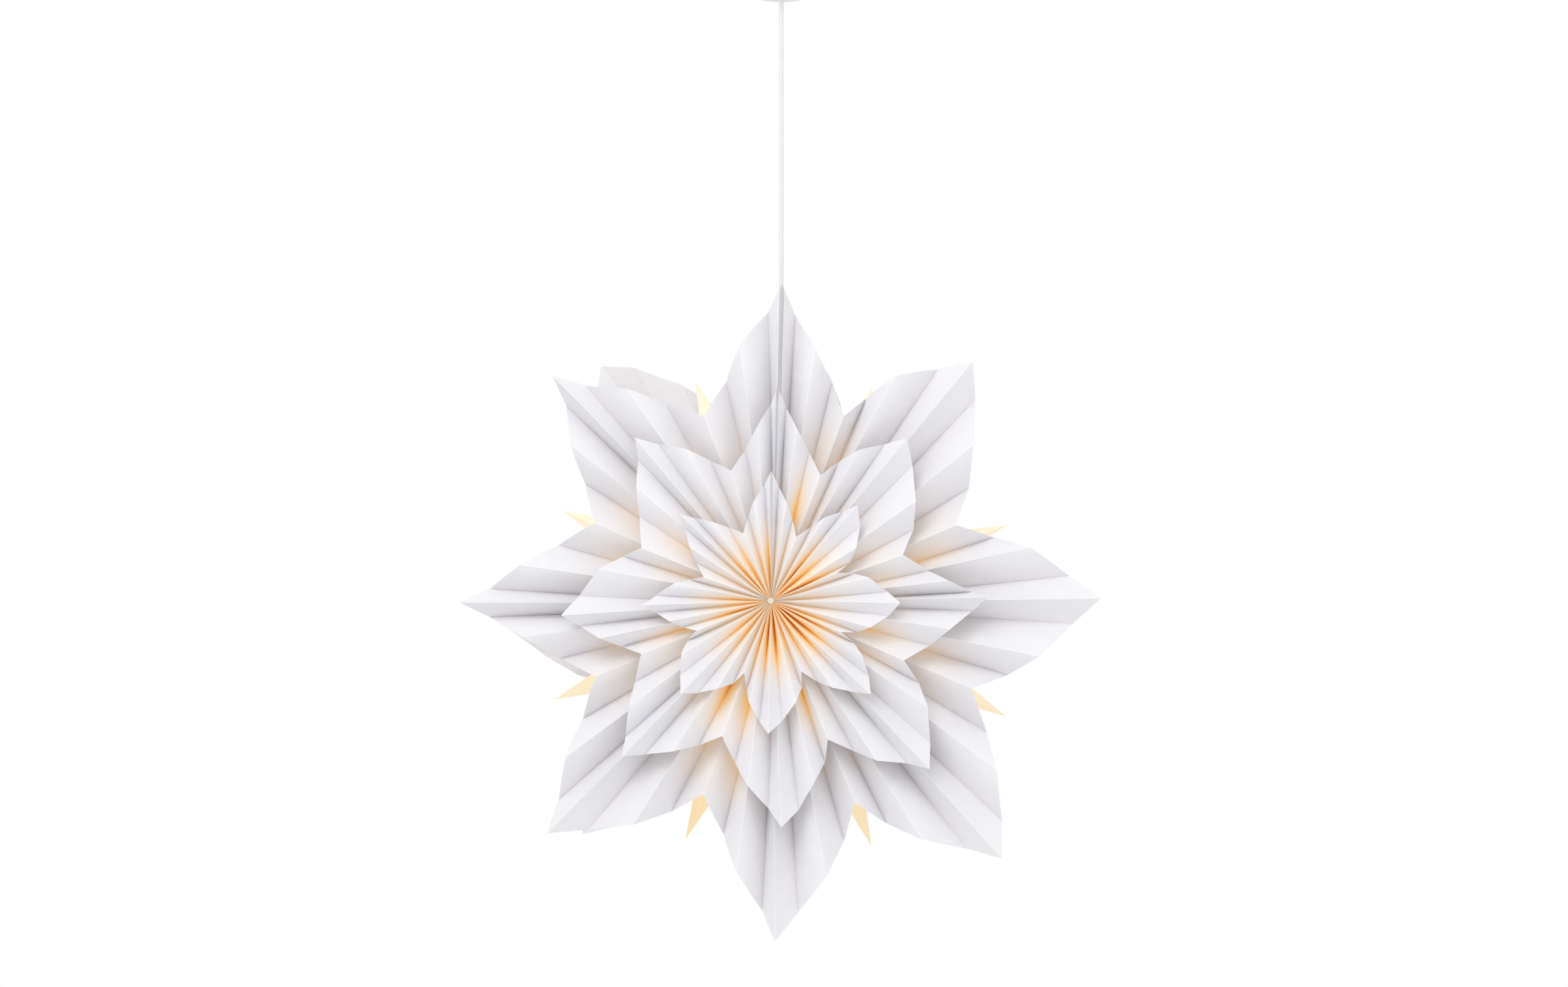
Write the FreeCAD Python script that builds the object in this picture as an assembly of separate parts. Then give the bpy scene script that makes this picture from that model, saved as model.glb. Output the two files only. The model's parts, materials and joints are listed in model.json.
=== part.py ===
import FreeCAD, Part
import math
import os

# Folded paper star pendant: a lamp that hangs on its cord from a ceiling cup.
# Millimetres. +Z is up, the star faces -Y, and the origin is the middle of the
# ceiling plate's upper face, which is where the lamp is held.

# ---- driving dimensions: the paper star ----
drop = 760.0                 # ceiling to the middle of the star
points = 8                   # points of each star, and side spikes
folds_per_point = 8          # facets of paper from one notch to the next
fold_reach = (1.0, 0.92, 0.81, 0.72, 0.62)   # fold ends from tip to notch, over the tip radius
paper = 0.6                  # paper with its glued hem, measured along the lamp's depth
gather_radius = 2.6          # where the folds of one star meet in the middle
flattest_pleat = 0.3         # least height of a pleat, over the width of its strip

large_tip_radius = 350.0
large_strip = 40.0           # width of one strip of paper between two folds
medium_tip_radius = 229.0
medium_strip = 27.0
small_tip_radius = 137.5
small_strip = 17.0
waist_share = 0.4            # where the crest of an inner star bends, over its tip radius
large_middle = 75.0          # mid-plane of the lamp to the mid-surface of a large star

thread_radius = 0.6
button_radius = 3.2
button_thickness = 1.6
button_edge_radius = 0.64

spike_tip_radius = 268.0
spike_half_angle = 13.0      # in the lamp's own plane, degrees
spike_half_depth = 48.0      # front to back, half the spike's base
spike_paper = 0.5

drum_apothem = 105.0         # middle of the lamp to the outer face of a drum side
drum_wall = 1.2
window_share = 0.78          # window under a spike, over the spike's base
frame_thickness = 3.0
frame_opening_radius = 88.0
frame_bar = 7.0              # board below the hanger's eyelet
frame_inset = 6.0            # drum edge to the frame's outer face
eyelet_wall = 1.2
eyelet_flange = 2.0
eyelet_flange_thickness = 0.6
cord_slot_play = 1.0         # each side of the cord along Y, in the drum's fold
cord_slot_depth = 12.0

# ---- driving dimensions: cord, lamp holder and bulb ----
cord_radius = 2.5
core_radius = 0.8
core_offset = 1.1

holder_headroom = 8.25       # top of the lamp holder to the drum's inner corner above it
hanger_wire_radius = 1.5
clip_radius = 4.0
clip_thickness = 1.2
hanger_tail = 1.0            # wire beyond its clip
level_range = 4.0            # how far the star rolls on its hanger wire each way, degrees

holder_radius = 20.0
holder_wall = 2.2
holder_lip = 6.2             # skirt below the ring when it is screwed right down
flange_radius = 24.0
flange_thickness = 3.0
ring_radius = 27.0
ring_height = 8.0
ring_travel = 14.0
ring_grip_count = 24
ring_grip_radius = 1.2
ring_grip_top = 2.0          # plain band above the grip flutes
cap_radius = 22.0
cap_wall = 2.0
cap_rim_height = 5.0
cap_cone_height = 15.0
boss_radius = 8.2
boss_height = 9.0
gland_wall = 3.4
gland_length = 13.0

socket_radius = 13.3         # inside of the screw shell
socket_wall = 0.4
shell_lip = 4.0              # holder's mouth to the screw shell
shell_ledge = 1.5
base_thickness = 7.0
base_screw_radius = 1.4
base_screw_offset = 9.0
base_screw_head_radius = 2.6
base_screw_head = 1.6
contact_width = 7.0
contact_strip = 0.8
contact_drop = 1.6
holder_core_offset = 7.0
core_rise = 3.0              # from a core's bend to the piece that it enters
bulb_cap_radius = 12.95
bulb_cap_length = 21.5
bulb_radius = 30.0
bulb_length = 81.0           # glass, from the cap's lip to the crown
bulb_neck_radius = 14.2
bulb_glass_wall = 0.8
bulb_shoulder_angle = 35.0   # globe's equator to where the neck's flare starts, degrees
bulb_flare_bow = 0.07        # how far the flare is drawn in, over its chord
bulb_cap_sheet = 0.5
bulb_cap_collar = 1.0
bulb_cap_taper = 2.5
insulator_height = 2.6
insulator_top_radius = 5.0
bulb_contact_height = 0.9
bulb_contact_radius = 4.6
stem_length = 34.0
stem_radius = 4.0
stem_tip_radius = 2.4
stem_flare_length = 12.0
filament_loop_radius = 11.0
filament_drop = 4.0          # stem's tip to the loop
filament_radius = 0.5

# ---- driving dimensions: ceiling fitting ----
plate_radius = 38.0
plate_thickness = 2.0
plate_hole_spacing = 50.0
plate_hole_radius = 2.25
bracket_span = 34.0
bracket_width = 12.0
bracket_strap = 1.5
bracket_foot = 6.0
bracket_depth = 30.0         # plate to the underside of the strap
bracket_screw_radius = 1.5
bracket_screw_head = 1.8
cord_tail = 4.0              # cord sheath above the bracket's strap
clamp_radius = 6.5
clamp_height = 9.0
block_length = 20.0
block_width = 12.0
block_height = 12.0
pole_pitch = 10.0
wire_way_radius = 1.25
terminal_screw_radius = 1.5
terminal_screw_sink = 0.5
terminal_row = 0.27          # screw rows from the block's ends, over its height
core_entry = 0.8             # how far a core runs up the block, over its height
cup_top_radius = 50.0
cup_bottom_radius = 41.0
cup_height = 52.0
cup_wall = 1.6
cup_ceiling_gap = 0.5
bush_radius = 6.5
bush_height = 12.0
bush_collar_radius = 9.0
bush_collar_height = 2.0
grub_screw_radius = 1.5
grub_screw_rise = 4.0        # bush's lower end to its grub screw
grub_screw_head = 1.5        # how far that screw stands out

# ---- clearances ----
seat = 0.3                   # between two pieces that rest on each other
running = 0.05               # around a shaft that turns or slides
thread_play = 0.1            # around a screwed ring or screw
glue_line = 0.2              # between glued pieces
overrun = 1.0                # how far a cut runs past the piece it cuts

# ---- sizes that follow ----
fold_count = points * folds_per_point
fold_step = 360.0 / fold_count
point_step = 360.0 / points
star_z = -drop
drum_corner_radius = drum_apothem / math.cos(math.radians(point_step / 2))
drum_inner_apothem = drum_apothem - drum_wall
drum_inner_corner = drum_inner_apothem / math.cos(math.radians(point_step / 2))
cap_height = cap_rim_height + cap_cone_height + boss_height
holder_rise = hanger_wire_radius + seat + flange_thickness + seat + cap_height
hanger_height = drum_inner_corner - holder_headroom - holder_rise   # above the star's middle
hanger_z = star_z + hanger_height
VEC = FreeCAD.Vector
Y_AXIS = VEC(0, 1, 0)
Z_AXIS = VEC(0, 0, 1)


def strip_half_depth(strip, radius):
    """Half the height of a pleat whose strip is this wide, at this radius."""
    gap = 2 * math.pi * radius / fold_count
    return 0.5 * math.sqrt(max(strip ** 2 - gap ** 2, (flattest_pleat * strip) ** 2))


large_half_depth = strip_half_depth(large_strip, gather_radius)
medium_half_depth = strip_half_depth(medium_strip, gather_radius)
small_half_depth = strip_half_depth(small_strip, gather_radius)
layer_gap = paper + seat
medium_middle = large_middle + large_half_depth + layer_gap + medium_half_depth
small_middle = medium_middle + medium_half_depth + layer_gap + small_half_depth
small_crest = small_middle + small_half_depth + paper / 2
spike_foot = drum_apothem + glue_line
spike_length = spike_tip_radius - spike_foot
spike_half_width = spike_length * math.tan(math.radians(spike_half_angle))
bracket_foot_y = bracket_span / 2 + bracket_foot / 2
drum_half = large_middle - strip_half_depth(large_strip, drum_apothem) - paper / 2 - seat
frame_outer_face = drum_half - frame_inset
frame_inner_face = frame_outer_face - frame_thickness
eyelet_bore = hanger_wire_radius + running
eyelet_radius = eyelet_bore + eyelet_wall


def polar(radius, angle, y):
    """A point of the star: the angle is clockwise from straight up, seen from the front."""
    turn = math.radians(angle)
    return VEC(radius * math.sin(turn), y, star_z + radius * math.cos(turn))


def cylinder(radius, start, end):
    return Part.makeCylinder(radius, (end - start).Length, start, end - start)


def tube(outer, inner, start, end):
    reach = (end - start).normalize()
    return cylinder(outer, start, end).cut(cylinder(inner, start - reach, end + reach))


def turned(profile):
    """A solid turned about the Z axis from (radius, z) points."""
    wire = Part.makePolygon([VEC(radius, 0, z) for radius, z in profile + [profile[0]]])
    return Part.Face(wire).revolve(VEC(0, 0, 0), Z_AXIS, 360)


def save(name, *solids):
    shape = solids[0] if len(solids) == 1 else Part.makeCompound(list(solids))
    shape.exportStep("parts/" + name + ".step")
    print(name, "solids", len(shape.Solids), "valid", shape.isValid(), "mm3", round(shape.Volume, 1))


# ---- pleated stars ----
def pleated_star(tip_radius, strip, waist_radius, middle, facing):
    """One fan-folded ring of paper; facing is -1 for a star that looks to the front."""

    def corner(fold, radius, back):
        crest = 1 if fold % 2 == 0 else -1
        depth = middle + crest * strip_half_depth(strip, radius) + paper / 2 - back * paper
        return polar(radius, fold * fold_step, facing * depth)

    def end_radius(fold):
        from_tip = fold % folds_per_point
        return tip_radius * fold_reach[min(from_tip, folds_per_point - from_tip)]

    faces = []

    def panel(*corners):
        faces.append(Part.Face(Part.makePolygon(list(corners) + [corners[0]])))

    for fold in range(fold_count):
        after = (fold + 1) % fold_count
        for back in (0, 1):
            inner = [corner(f, gather_radius, back) for f in (fold, after)]
            waist = [corner(f, waist_radius, back) for f in (fold, after)]
            outer = [corner(f, end_radius(f), back) for f in (fold, after)]
            panel(inner[0], waist[0], waist[1])
            panel(inner[0], waist[1], inner[1])
            panel(waist[0], outer[0], outer[1])
            panel(waist[0], outer[1], waist[1])
        for radii in ([gather_radius] * 2, [end_radius(fold), end_radius(after)]):
            rim = [corner(f, r, 0) for f, r in zip((fold, after), radii)]
            rim += [corner(f, r, 1) for f, r in zip((after, fold), reversed(radii))]
            panel(*rim)
    star = Part.makeSolid(Part.Shell(faces))
    if star.Volume < 0:
        star.reverse()
    return star


def gather_thread(middle, facing):
    loop = gather_radius - seat - thread_radius
    return Part.makeTorus(loop, thread_radius, VEC(0, facing * middle, star_z), Y_AXIS)


def centre_button(facing):
    """A small paper disc over the place where the folds of the small star meet."""
    under = VEC(0, facing * (small_crest + seat), star_z)
    button = cylinder(button_radius, under, under + Y_AXIS * (facing * button_thickness))
    outer_face = under.y + facing * button_thickness
    rim = [edge for edge in button.Edges if abs(edge.CenterOfMass.y - outer_face) < seat]
    return button.makeFillet(button_edge_radius, rim)


layers = (
    ("large", large_tip_radius, large_strip, drum_corner_radius, large_middle),
    ("medium", medium_tip_radius, medium_strip, waist_share * medium_tip_radius, medium_middle),
    ("small", small_tip_radius, small_strip, waist_share * small_tip_radius, small_middle),
)


# ---- side spikes and the drum that carries them ----
def octagon_prism(apothem, from_y, to_y):
    corner_radius = apothem / math.cos(math.radians(point_step / 2))
    corners = [polar(corner_radius, index * point_step, from_y) for index in range(points + 1)]
    return Part.Face(Part.makePolygon(corners)).extrude(Y_AXIS * (to_y - from_y))


def spike_directions(index):
    turn = math.radians((index + 0.5) * point_step)
    return VEC(math.sin(turn), 0, math.cos(turn)), VEC(math.cos(turn), 0, -math.sin(turn))


def spike_window(index):
    """The cut through a drum side that lets the lamp's light into its spike."""
    outward, across = spike_directions(index)
    inside = VEC(0, 0, star_z) + outward * (drum_inner_apothem - overrun)
    to_side = across * (spike_half_width * window_share)
    to_edge = Y_AXIS * (spike_half_depth * window_share)
    corners = [inside + to_side, inside + to_edge, inside - to_side, inside - to_edge]
    rhombus = Part.Face(Part.makePolygon(corners + [corners[0]]))
    return rhombus.extrude(outward * (drum_wall + 2 * overrun))


def drum_band():
    """The folded card drum: the spikes stand over its windows, the large stars on its edges."""
    band = octagon_prism(drum_apothem, -drum_half, drum_half)
    band = band.cut(octagon_prism(drum_inner_apothem, -drum_half - overrun, drum_half + overrun))
    sway = (drum_corner_radius - hanger_height) * math.sin(math.radians(level_range))
    slot_x = cord_radius + sway + 2 * seat
    slot_y = cord_radius + cord_slot_play
    foot = VEC(-slot_x, -slot_y, star_z + drum_corner_radius - cord_slot_depth)
    slot = Part.makeBox(2 * slot_x, 2 * slot_y, cord_slot_depth + overrun, foot)
    band = band.cut(slot)
    for index in range(points):
        band = band.cut(spike_window(index))
    return band


def pyramid(tip, base_centre, half_width, half_depth, across):
    """A rhombic cone: its four base corners lie across and along Y from the base's middle."""
    base = [base_centre + across * half_width, base_centre + Y_AXIS * half_depth,
            base_centre - across * half_width, base_centre - Y_AXIS * half_depth]
    faces = [Part.Face(Part.makePolygon([base[i], base[(i + 1) % 4], tip, base[i]])) for i in range(4)]
    faces.append(Part.Face(Part.makePolygon(base + [base[0]])))
    solid = Part.makeSolid(Part.Shell(faces))
    if solid.Volume < 0:
        solid.reverse()
    return solid


def spike(index):
    outward, across = spike_directions(index)
    centre = VEC(0, 0, star_z)
    outer = pyramid(centre + outward * spike_tip_radius, centre + outward * spike_foot,
                    spike_half_width, spike_half_depth, across)
    facet_reach = spike_half_width * spike_half_depth / math.hypot(spike_half_width, spike_half_depth)
    shrink = 1 - spike_paper / facet_reach
    grown = shrink + overrun / spike_length
    inner = pyramid(centre + outward * (spike_foot + spike_length * shrink),
                    centre + outward * (spike_foot - overrun),
                    spike_half_width * grown, spike_half_depth * grown, across)
    return outer.cut(inner)


def star_frame(facing):
    """A board ring inside the drum, near its open end, with the hanger's eyelet hole."""
    near = facing * frame_inner_face
    far = facing * frame_outer_face
    board = octagon_prism(drum_inner_apothem - glue_line, near, far)
    cut_start = Y_AXIS * (near - facing * overrun)
    cut_end = Y_AXIS * (far + facing * overrun)
    middle = VEC(0, 0, star_z)
    hanger = VEC(0, 0, hanger_z)
    opening = cylinder(frame_opening_radius, middle + cut_start, middle + cut_end)
    bar_box = Part.makeBox(2 * drum_apothem, 2 * drum_apothem, drum_apothem,
                           VEC(-drum_apothem, -drum_apothem, hanger_z - frame_bar))
    opening = opening.cut(bar_box)
    hole = cylinder(eyelet_radius + glue_line, hanger + cut_start, hanger + cut_end)
    return board.cut(opening).cut(hole)


def star_eyelet(facing):
    """The metal eyelet in a frame, which turns on the hanger wire."""
    hanger = VEC(0, 0, hanger_z)
    inside = hanger + Y_AXIS * (facing * frame_inner_face)
    outside = hanger + Y_AXIS * (facing * frame_outer_face)
    flange_end = outside + Y_AXIS * (facing * (glue_line + eyelet_flange_thickness))
    flange_start = outside + Y_AXIS * (facing * glue_line)
    barrel = tube(eyelet_radius, eyelet_bore, inside, flange_end)
    flange = tube(eyelet_radius + eyelet_flange, eyelet_bore, flange_start, flange_end)
    return barrel.fuse(flange).removeSplitter()


# ---- hanger wire ----
collar_radius = holder_radius + thread_play + hanger_wire_radius
clip_start = frame_outer_face + glue_line + eyelet_flange_thickness + seat
hanger_end = clip_start + clip_thickness + hanger_tail


def wire_spreader():
    """Spring wire: a collar round the lamp holder with one straight arm to each frame."""
    middle = VEC(0, 0, hanger_z)
    wire = Part.makeTorus(collar_radius, hanger_wire_radius, middle, Z_AXIS)
    for facing in (-1, 1):
        arm = cylinder(hanger_wire_radius, middle + Y_AXIS * (facing * collar_radius),
                       middle + Y_AXIS * (facing * hanger_end))
        wire = wire.fuse(arm)
    return wire


def hanger_clips():
    clips = []
    for facing in (-1, 1):
        start = VEC(0, facing * clip_start, hanger_z)
        end = start + Y_AXIS * (facing * clip_thickness)
        clips.append(tube(clip_radius, hanger_wire_radius + running, start, end))
    return clips


# ---- lamp holder ----
flange_bottom = hanger_z + hanger_wire_radius + seat
flange_top = flange_bottom + flange_thickness
holder_bore = holder_radius - holder_wall
cap_bottom = flange_top + seat
cap_cone_bottom = cap_bottom + cap_rim_height
cap_cone_top = cap_cone_bottom + cap_cone_height
boss_top = cap_bottom + cap_height
gland_radius = cord_radius + running + gland_wall
gland_bottom = boss_top - gland_length
cord_end = gland_bottom - seat
base_top = flange_top - seat
base_bottom = base_top - base_thickness
shell_top = base_bottom - seat
ring_top = hanger_z - hanger_wire_radius - seat
ring_bottom = ring_top - ring_height
skirt_bottom = ring_bottom - ring_travel - holder_lip
shell_bottom = skirt_bottom + shell_lip
gland_screw_z = boss_top - boss_height / 2


def holder_body():
    body = turned([(holder_bore, skirt_bottom), (holder_radius, skirt_bottom),
                   (holder_radius, flange_bottom), (flange_radius, flange_bottom),
                   (flange_radius, flange_top), (holder_bore, flange_top)])
    ledge_bore = socket_radius + socket_wall + thread_play
    ledge_top = shell_bottom - seat
    ledge = turned([(ledge_bore, ledge_top - shell_ledge), (holder_bore, ledge_top - shell_ledge),
                    (holder_bore, ledge_top), (ledge_bore, ledge_top)])
    return body.fuse(ledge).removeSplitter()


def holder_cap():
    hollow_top = gland_bottom - seat
    cap = turned([(cap_radius - cap_wall, cap_bottom), (cap_radius, cap_bottom),
                  (cap_radius, cap_cone_bottom), (boss_radius, cap_cone_top), (boss_radius, boss_top),
                  (gland_radius + thread_play, boss_top), (gland_radius + thread_play, hollow_top),
                  (cap_radius - cap_wall, cap_cone_bottom)])
    return cap.cut(screw_way(boss_radius, gland_screw_z))


def screw_way(reach, z):
    """The radial hole for a grub screw, from the middle out past this radius."""
    return cylinder(grub_screw_radius + thread_play, VEC(0, 0, z), VEC(0, reach + overrun, z))


def grub_screw(reach, z):
    """A grub screw that stops just short of the cord."""
    return cylinder(grub_screw_radius, VEC(0, cord_radius + seat, z), VEC(0, reach, z))


def cord_gland():
    collet = tube(gland_radius, cord_radius + running, VEC(0, 0, gland_bottom), VEC(0, 0, boss_top))
    return collet.cut(screw_way(boss_radius, gland_screw_z))


def contact_base():
    base = cylinder(holder_bore - glue_line, VEC(0, 0, base_bottom), VEC(0, 0, base_top))
    for side in (-1, 1):
        for radius, x, y in ((core_radius + thread_play, holder_core_offset, 0),
                             (base_screw_radius + thread_play, 0, base_screw_offset)):
            foot = VEC(side * x, side * y, base_bottom - overrun)
            base = base.cut(cylinder(radius, foot, foot + Z_AXIS * (base_thickness + 2 * overrun)))
    return base


def base_screws():
    """Two screws that hold the contacts to the ceramic base."""
    screws = []
    for side in (-1, 1):
        foot = VEC(0, side * base_screw_offset, base_bottom)
        under_head = foot + Z_AXIS * (base_thickness + glue_line)
        shank = cylinder(base_screw_radius, foot, under_head)
        head = cylinder(base_screw_head_radius, under_head, under_head + Z_AXIS * base_screw_head)
        screws.append(shank.fuse(head))
    return screws


def socket_shell():
    return tube(socket_radius + socket_wall, socket_radius, VEC(0, 0, shell_bottom), VEC(0, 0, shell_top))


def socket_contact():
    """The sprung tongue that the bulb's tip presses on."""
    top = base_bottom - seat
    strap = Part.makeBox(contact_width * 2, contact_width, contact_strip,
                         VEC(-contact_width, -contact_width / 2, top - contact_strip))
    tongue = cylinder(contact_width / 2, VEC(0, 0, top - contact_strip - contact_drop),
                      VEC(0, 0, top - contact_strip))
    return strap.fuse(tongue)


def bent_core(start, knee, end):
    """One insulated wire of the cord, bent once."""
    ball = Part.makeSphere(core_radius, knee)
    return cylinder(core_radius, start, knee).fuse(ball).fuse(cylinder(core_radius, knee, end))


def holder_core(side):
    start = VEC(side * core_offset, 0, cord_end - seat)
    knee = VEC(side * holder_core_offset, 0, base_top + core_rise)
    return bent_core(start, knee, VEC(side * holder_core_offset, 0, base_bottom + seat))


def shade_ring():
    """The fluted ring that clamps the hanger wire's collar against the holder's flange."""
    ring = tube(ring_radius, holder_radius + thread_play, VEC(0, 0, ring_bottom), VEC(0, 0, ring_top))
    for index in range(ring_grip_count):
        turn = 2 * math.pi * index / ring_grip_count
        foot = VEC(ring_radius * math.cos(turn), ring_radius * math.sin(turn), ring_bottom - overrun)
        flute_top = VEC(foot.x, foot.y, ring_top - ring_grip_top)
        ring = ring.cut(cylinder(ring_grip_radius, foot, flute_top))
    return ring


# ---- bulb ----
contact_bottom = base_bottom - seat - contact_strip - contact_drop
bulb_contact_top = contact_bottom - seat
bulb_cap_top = bulb_contact_top - bulb_contact_height - insulator_height
bulb_cap_bottom = bulb_cap_top - bulb_cap_length
glass_top = bulb_cap_bottom - glue_line
globe_z = glass_top - bulb_length + bulb_radius


def bulb_glass_section(inset):
    """The bulb's outline, neck to crown, as tangent arcs; inset gives the inner wall."""
    globe = bulb_radius - inset
    neck = bulb_neck_radius - inset

    def on_globe(degrees):
        turn = math.radians(degrees)
        return VEC(globe * math.cos(turn), 0, globe_z + globe * math.sin(turn))

    join = on_globe(bulb_shoulder_angle)
    neck_end = VEC(neck, 0, glass_top)
    chord = neck_end - join
    inwards = VEC(chord.z, 0, -chord.x).normalize()
    flare = (join + neck_end) * 0.5 + inwards * (bulb_flare_bow * chord.Length)
    return [Part.Arc(on_globe(-90), on_globe(-45), on_globe(0)).toShape(),
            Part.Arc(on_globe(0), on_globe(bulb_shoulder_angle / 2), join).toShape(),
            Part.Arc(join, flare, neck_end).toShape()]


def bulb_glass():
    outer = bulb_glass_section(0)
    inner = bulb_glass_section(bulb_glass_wall)
    lip = Part.LineSegment(outer[-1].Vertexes[-1].Point, inner[-1].Vertexes[-1].Point).toShape()
    crown = Part.LineSegment(outer[0].Vertexes[0].Point, inner[0].Vertexes[0].Point).toShape()
    wire = Part.Wire(Part.__sortEdges__(outer + [lip] + inner + [crown]))
    return Part.Face(wire).revolve(VEC(0, 0, 0), Z_AXIS, 360)


def bulb_cap():
    bore = bulb_cap_radius - bulb_cap_sheet
    top_radius = bulb_cap_radius - bulb_cap_taper
    collar_top = bulb_cap_bottom + bulb_cap_collar
    return turned([(bore, bulb_cap_bottom), (bulb_neck_radius, bulb_cap_bottom),
                   (bulb_neck_radius, collar_top), (bulb_cap_radius, collar_top + bulb_cap_collar),
                   (bulb_cap_radius, bulb_cap_top - bulb_cap_collar), (top_radius, bulb_cap_top),
                   (top_radius - bulb_cap_sheet, bulb_cap_top - bulb_cap_collar),
                   (bore, bulb_cap_top - 2 * bulb_cap_collar)])


def bulb_insulator():
    low = bulb_cap_top + glue_line
    high = bulb_contact_top - bulb_contact_height - glue_line
    foot_radius = bulb_cap_radius - bulb_cap_taper - bulb_cap_sheet
    return turned([(0, low), (foot_radius, low), (insulator_top_radius, high), (0, high)])


def bulb_contact():
    foot = VEC(0, 0, bulb_contact_top - bulb_contact_height)
    return cylinder(bulb_contact_radius, foot, VEC(0, 0, bulb_contact_top))


def bulb_stem():
    foot = glass_top - stem_length
    flare_radius = bulb_neck_radius - bulb_glass_wall - seat
    rim = glass_top - bulb_glass_wall
    return turned([(0, foot), (stem_tip_radius, foot), (stem_radius, glass_top - stem_flare_length),
                   (flare_radius, rim), (flare_radius, glass_top), (0, glass_top)])


def bulb_filament():
    """A coiled wire ring on two supports that stand on the glass stem."""
    middle = VEC(0, 0, glass_top - stem_length - filament_drop)
    hub = VEC(0, 0, glass_top - stem_length - seat - filament_radius)
    filament = Part.makeTorus(filament_loop_radius, filament_radius, middle, Z_AXIS)
    filament = filament.fuse(Part.makeSphere(filament_radius, hub))
    for side in (-1, 1):
        loop_side = middle + VEC(0, side * filament_loop_radius, 0)
        filament = filament.fuse(cylinder(filament_radius, hub, loop_side))
    return filament


# ---- cord ----
clamp_top = -plate_thickness - bracket_depth
clamp_bottom = clamp_top - seat - clamp_height
clamp_screw_z = (clamp_top + clamp_bottom) / 2
cord_top = clamp_top + bracket_strap + cord_tail


def power_cord():
    """The cord hangs straight from its clamp in the ceiling cup to the lamp holder."""
    cord = cylinder(cord_radius, VEC(0, 0, cord_end), VEC(0, 0, cord_top))
    run = cord_top - cord_end
    expected = math.pi * cord_radius ** 2 * run
    print("cord: one straight run of", round(run, 1), "mm, volume over section times length",
          round(cord.Volume / expected, 4))
    return cord


# ---- ceiling fitting ----
def ceiling_plate():
    plate = cylinder(plate_radius, VEC(0, 0, -plate_thickness), VEC(0, 0, 0))
    for side in (-1, 1):
        for radius, x, y in ((plate_hole_radius, plate_hole_spacing / 2, 0),
                             (bracket_screw_radius + thread_play, 0, bracket_foot_y)):
            foot = VEC(side * x, side * y, -plate_thickness - overrun)
            plate = plate.cut(cylinder(radius, foot, foot + Z_AXIS * (plate_thickness + 2 * overrun)))
    return plate


def clamp_bracket():
    """A U-shaped strap under the plate; its bridge holds the cord's clamp."""
    half = bracket_span / 2
    top = -plate_thickness - glue_line
    width = bracket_width

    def strap(length, height, y, z):
        return Part.makeBox(width, length, height, VEC(-width / 2, y, z))

    bracket = strap(bracket_span, bracket_strap, -half, clamp_top)
    for side, leg_y, foot_y in ((1, half - bracket_strap, half), (-1, -half, -half - bracket_foot)):
        bracket = bracket.fuse(strap(bracket_strap, top - clamp_top, leg_y, clamp_top))
        bracket = bracket.fuse(strap(bracket_foot, bracket_strap, foot_y, top - bracket_strap))
        screw = VEC(0, side * bracket_foot_y, clamp_top)
        way = cylinder(bracket_screw_radius + thread_play, screw, screw + Z_AXIS * bracket_depth)
        bracket = bracket.cut(way)
    cord_way = cylinder(cord_radius + running, VEC(0, 0, clamp_top - overrun),
                        VEC(0, 0, clamp_top + bracket_strap + overrun))
    return bracket.removeSplitter().cut(cord_way)


def bracket_screws():
    screws = []
    head_top = -plate_thickness - glue_line - bracket_strap - glue_line
    for side in (-1, 1):
        foot = VEC(0, side * bracket_foot_y, head_top - bracket_screw_head)
        shank = cylinder(bracket_screw_radius, foot, VEC(0, side * bracket_foot_y, -glue_line))
        head = cylinder(2 * bracket_screw_radius, foot, foot + Z_AXIS * bracket_screw_head)
        screws.append(shank.fuse(head))
    return screws


def cord_clamp():
    sleeve = tube(clamp_radius, cord_radius + running, VEC(0, 0, clamp_bottom),
                  VEC(0, 0, clamp_bottom + clamp_height))
    return sleeve.cut(screw_way(clamp_radius, clamp_screw_z))


block_top = -plate_thickness - seat
block_bottom = block_top - block_height


def terminal_block():
    face = -block_width / 2
    corner = VEC(-block_length / 2, face, block_bottom)
    block = Part.makeBox(block_length, block_width, block_height, corner)
    for x, z in terminal_screw_places():
        way = cylinder(terminal_screw_radius + thread_play, VEC(x, face - overrun, z), VEC(x, 0, z))
        block = block.cut(way)
    for side in (-1, 1):
        foot = VEC(side * pole_pitch / 2, 0, block_bottom - overrun)
        block = block.cut(cylinder(wire_way_radius, foot, foot + Z_AXIS * (block_height + 2 * overrun)))
    return block


def terminal_screw_places():
    rows = (block_bottom + block_height * terminal_row, block_top - block_height * terminal_row)
    return [(side * pole_pitch / 2, z) for side in (-1, 1) for z in rows]


def terminal_screws():
    head_y = -block_width / 2 + terminal_screw_sink
    tip_y = -wire_way_radius - seat
    return [cylinder(terminal_screw_radius, VEC(x, head_y, z), VEC(x, tip_y, z))
            for x, z in terminal_screw_places()]


def ceiling_core(side):
    start = VEC(side * core_offset, 0, cord_top + seat)
    knee = VEC(side * pole_pitch / 2, 0, block_bottom - core_rise)
    return bent_core(start, knee, VEC(side * pole_pitch / 2, 0, block_bottom + block_height * core_entry))


cup_top = -cup_ceiling_gap
cup_bottom = cup_top - cup_height
bush_top = cup_bottom + cup_wall + seat + bush_collar_height
bush_bottom = bush_top - bush_collar_height - bush_height
cup_screw_z = bush_bottom + grub_screw_rise


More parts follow.
